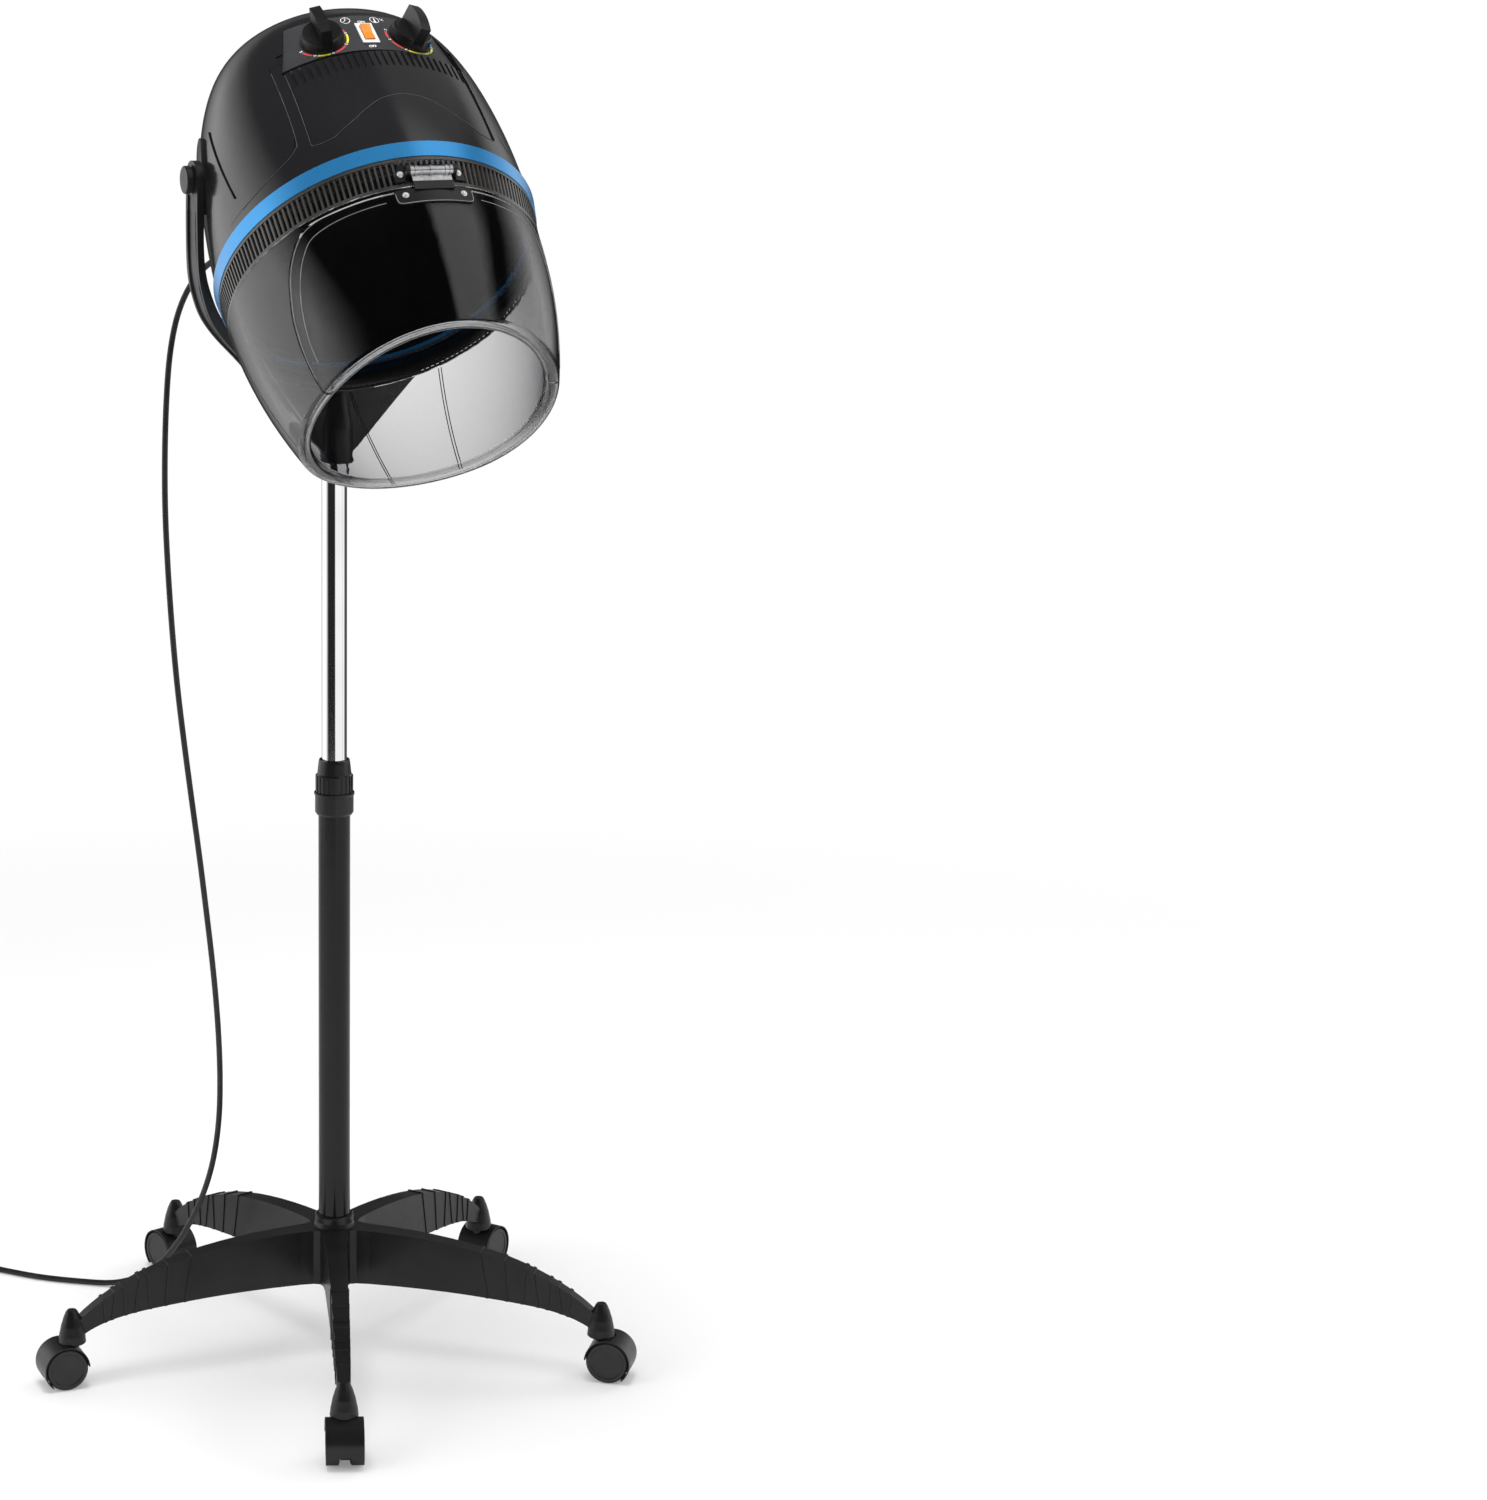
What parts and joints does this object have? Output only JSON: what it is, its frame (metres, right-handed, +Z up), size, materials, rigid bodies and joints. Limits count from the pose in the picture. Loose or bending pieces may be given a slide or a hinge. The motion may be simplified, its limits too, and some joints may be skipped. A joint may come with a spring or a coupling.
{
  "type": "hood hair dryer",
  "caption": "Salon hood hair dryer: domed hood with smoked visor and hinged flap in a fork, on a sliding mast and five-legged rolling base.",
  "frame": {"origin": "on the floor, under the axis of the column", "axes": "+Z up along the column, the hood faces -Y, +X to the right of someone who faces the hood"},
  "size_m": [0.6722, 0.8257, 1.3661],
  "materials": {
    "black_plastic": "moulded nylon, fine grain",
    "gloss_black": "glossy dark charcoal",
    "smoked_visor": "smoked dark acrylic",
    "blue_band": "metallic blue",
    "chrome": "polished chrome",
    "black_paint": "black powder coat",
    "steel": "zinc-plated steel",
    "grey_panel": "printed dark facia",
    "bezel_grey": "light grey bezel",
    "amber": "amber lens",
    "cord_rubber": "black flexible PVC",
    "wheel_rubber": "black nylon tread",
    "bowl_plastic": "heat-resistant dark plastic",
    "mica": "mica board",
    "aluminium": "bare aluminium"
  },
  "bodies": {
    "stand": {"star_base": "black_plastic", "column_tube": "black_paint", "base_bolt": "steel", "lock_sleeve": "black_plastic", "caster_stems": "steel", "cord": "cord_rubber", "cord_coil": "cord_rubber", "plug_body": "cord_rubber", "plug_pins": "steel"},
    "lock_nut": {"lock_nut": "black_plastic"},
    "mast": {"mast_tube": "chrome", "mast_bush": "black_plastic"},
    "yoke": {"yoke": "black_plastic", "socket_screw": "steel"},
    "hood": {"dome_shell": "gloss_black", "front_cover": "gloss_black", "control_panel": "grey_panel", "pivot_plates": "black_plastic", "pivot_studs": "steel", "trim_ring": "blue_band", "vent_ring": "smoked_visor", "visor": "smoked_visor", "hinge_bracket": "black_plastic", "bracket_screws": "steel", "timer_body": "black_plastic", "thermostat_body": "black_plastic", "switch_body": "bezel_grey", "inner_bowl": "bowl_plastic", "motor_bracket": "steel", "fan_motor": "steel", "heater_frame": "mica", "heater_coil": "steel", "thermal_cutout": "steel", "cord_gland": "cord_rubber"},
    "flap": {"visor_flap": "smoked_visor", "flap_bracket": "black_plastic", "flap_screws": "steel", "hinge_barrel": "steel"},
    "pivot_knob_left": {"pivot_knob_left": "black_plastic"},
    "pivot_knob_right": {"pivot_knob_right": "black_plastic"},
    "timer_knob": {"timer_knob": "black_plastic"},
    "thermostat_knob": {"thermostat_knob": "black_plastic"},
    "switch_rocker": {"switch_rocker": "amber"},
    "fan_impeller": {"fan_impeller": "aluminium"},
    "caster_1": {"caster_1_housing": "black_plastic"},
    "caster_1_wheel_left": {"caster_1_wheel_left": "wheel_rubber"},
    "caster_1_wheel_right": {"caster_1_wheel_right": "wheel_rubber"},
    "caster_2": {"caster_2_housing": "black_plastic"},
    "caster_2_wheel_left": {"caster_2_wheel_left": "wheel_rubber"},
    "caster_2_wheel_right": {"caster_2_wheel_right": "wheel_rubber"},
    "caster_3": {"caster_3_housing": "black_plastic"},
    "caster_3_wheel_left": {"caster_3_wheel_left": "wheel_rubber"},
    "caster_3_wheel_right": {"caster_3_wheel_right": "wheel_rubber"},
    "caster_4": {"caster_4_housing": "black_plastic"},
    "caster_4_wheel_left": {"caster_4_wheel_left": "wheel_rubber"},
    "caster_4_wheel_right": {"caster_4_wheel_right": "wheel_rubber"},
    "caster_5": {"caster_5_housing": "black_plastic"},
    "caster_5_wheel_left": {"caster_5_wheel_left": "wheel_rubber"},
    "caster_5_wheel_right": {"caster_5_wheel_right": "wheel_rubber"}
  },
  "joints": [
    {"name": "mast_slide", "type": "slide", "parent": "stand", "child": "mast", "axis": [0, 0, 1], "range_m": [-0.27, 0.13], "deforming": ["cord"]},
    {"name": "lock_nut_turn", "type": "hinge", "parent": "stand", "child": "lock_nut", "pos_m": [0, 0, 0.607], "axis": [0, 0, 1], "range_deg": [0, 90]},
    {"name": "yoke_swivel", "type": "hinge", "parent": "mast", "child": "yoke", "pos_m": [0, 0, 0.95], "axis": [0, 0, 1], "range_deg": [-180, 180]},
    {"name": "hood_tilt", "type": "hinge", "parent": "yoke", "child": "hood", "pos_m": [0, -0.0394, 1.2044], "axis": [1, 0, 0], "range_deg": [-45, 0]},
    {"name": "pivot_knob_left_turn", "type": "hinge", "parent": "hood", "child": "pivot_knob_left", "pos_m": [-0.16, -0.0394, 1.2044], "axis": [-1, 0, 0], "range_deg": [0, 180]},
    {"name": "pivot_knob_right_turn", "type": "hinge", "parent": "hood", "child": "pivot_knob_right", "pos_m": [0.16, -0.0394, 1.2044], "axis": [1, 0, 0], "range_deg": [-180, 0]},
    {"name": "flap_hinge", "type": "hinge", "parent": "hood", "child": "flap", "pos_m": [0, -0.26148, 1.22628], "axis": [-1, 0, 0], "range_deg": [0, 95]},
    {"name": "timer_knob_turn", "type": "hinge", "parent": "hood", "child": "timer_knob", "pos_m": [-0.0451, -0.0934, 1.34127], "axis": [-0.2622, -0.5152, 0.816], "range_deg": [-300, 0]},
    {"name": "thermostat_knob_turn", "type": "hinge", "parent": "hood", "child": "thermostat_knob", "pos_m": [0.0451, -0.0934, 1.34127], "axis": [0.2622, -0.5152, 0.816], "range_deg": [-270, 0]},
    {"name": "switch_rock", "type": "hinge", "parent": "hood", "child": "switch_rocker", "pos_m": [0, -0.09234, 1.33959], "axis": [1, 0, 0], "range_deg": [-14, 0]},
    {"name": "fan_spin", "type": "hinge", "parent": "hood", "child": "fan_impeller", "pos_m": [0, -0.00538, 1.25892], "axis": [0, 0.6664, 0.7456], "continuous": true},
    {"name": "caster_1_swivel", "type": "hinge", "parent": "stand", "child": "caster_1", "pos_m": [-0.08341, -0.26729, 0.03], "axis": [0, 0, 1], "continuous": true},
    {"name": "caster_1_wheel_left_spin", "type": "hinge", "parent": "caster_1", "child": "caster_1_wheel_left", "pos_m": [-0.08638, -0.27683, 0.0215], "axis": [0.9546, -0.2979, 0], "continuous": true},
    {"name": "caster_1_wheel_right_spin", "type": "hinge", "parent": "caster_1", "child": "caster_1_wheel_right", "pos_m": [-0.08638, -0.27683, 0.0215], "axis": [0.9546, -0.2979, 0], "continuous": true},
    {"name": "caster_2_swivel", "type": "hinge", "parent": "stand", "child": "caster_2", "pos_m": [0.22843, -0.16192, 0.03], "axis": [0, 0, 1], "continuous": true},
    {"name": "caster_2_wheel_left_spin", "type": "hinge", "parent": "caster_2", "child": "caster_2_wheel_left", "pos_m": [0.23659, -0.1677, 0.0215], "axis": [0.5783, 0.8158, 0], "continuous": true},
    {"name": "caster_2_wheel_right_spin", "type": "hinge", "parent": "caster_2", "child": "caster_2_wheel_right", "pos_m": [0.23659, -0.1677, 0.0215], "axis": [0.5783, 0.8158, 0], "continuous": true},
    {"name": "caster_3_swivel", "type": "hinge", "parent": "stand", "child": "caster_3", "pos_m": [0.22459, 0.16722, 0.03], "axis": [0, 0, 1], "continuous": true},
    {"name": "caster_3_wheel_left_spin", "type": "hinge", "parent": "caster_3", "child": "caster_3_wheel_left", "pos_m": [0.23261, 0.17319, 0.0215], "axis": [-0.5972, 0.8021, 0], "continuous": true},
    {"name": "caster_3_wheel_right_spin", "type": "hinge", "parent": "caster_3", "child": "caster_3_wheel_right", "pos_m": [0.23261, 0.17319, 0.0215], "axis": [-0.5972, 0.8021, 0], "continuous": true},
    {"name": "caster_4_swivel", "type": "hinge", "parent": "stand", "child": "caster_4", "pos_m": [-0.08963, 0.26527, 0.03], "axis": [0, 0, 1], "continuous": true},
    {"name": "caster_4_wheel_left_spin", "type": "hinge", "parent": "caster_4", "child": "caster_4_wheel_left", "pos_m": [-0.09283, 0.27474, 0.0215], "axis": [-0.9474, -0.3201, 0], "continuous": true},
    {"name": "caster_4_wheel_right_spin", "type": "hinge", "parent": "caster_4", "child": "caster_4_wheel_right", "pos_m": [-0.09283, 0.27474, 0.0215], "axis": [-0.9474, -0.3201, 0], "continuous": true},
    {"name": "caster_5_swivel", "type": "hinge", "parent": "stand", "child": "caster_5", "pos_m": [-0.27998, -0.00327, 0.03], "axis": [0, 0, 1], "continuous": true},
    {"name": "caster_5_wheel_left_spin", "type": "hinge", "parent": "caster_5", "child": "caster_5_wheel_left", "pos_m": [-0.28998, -0.00339, 0.0215], "axis": [0.0117, -0.9999, 0], "continuous": true},
    {"name": "caster_5_wheel_right_spin", "type": "hinge", "parent": "caster_5", "child": "caster_5_wheel_right", "pos_m": [-0.28998, -0.00339, 0.0215], "axis": [0.0117, -0.9999, 0], "continuous": true}
  ]
}
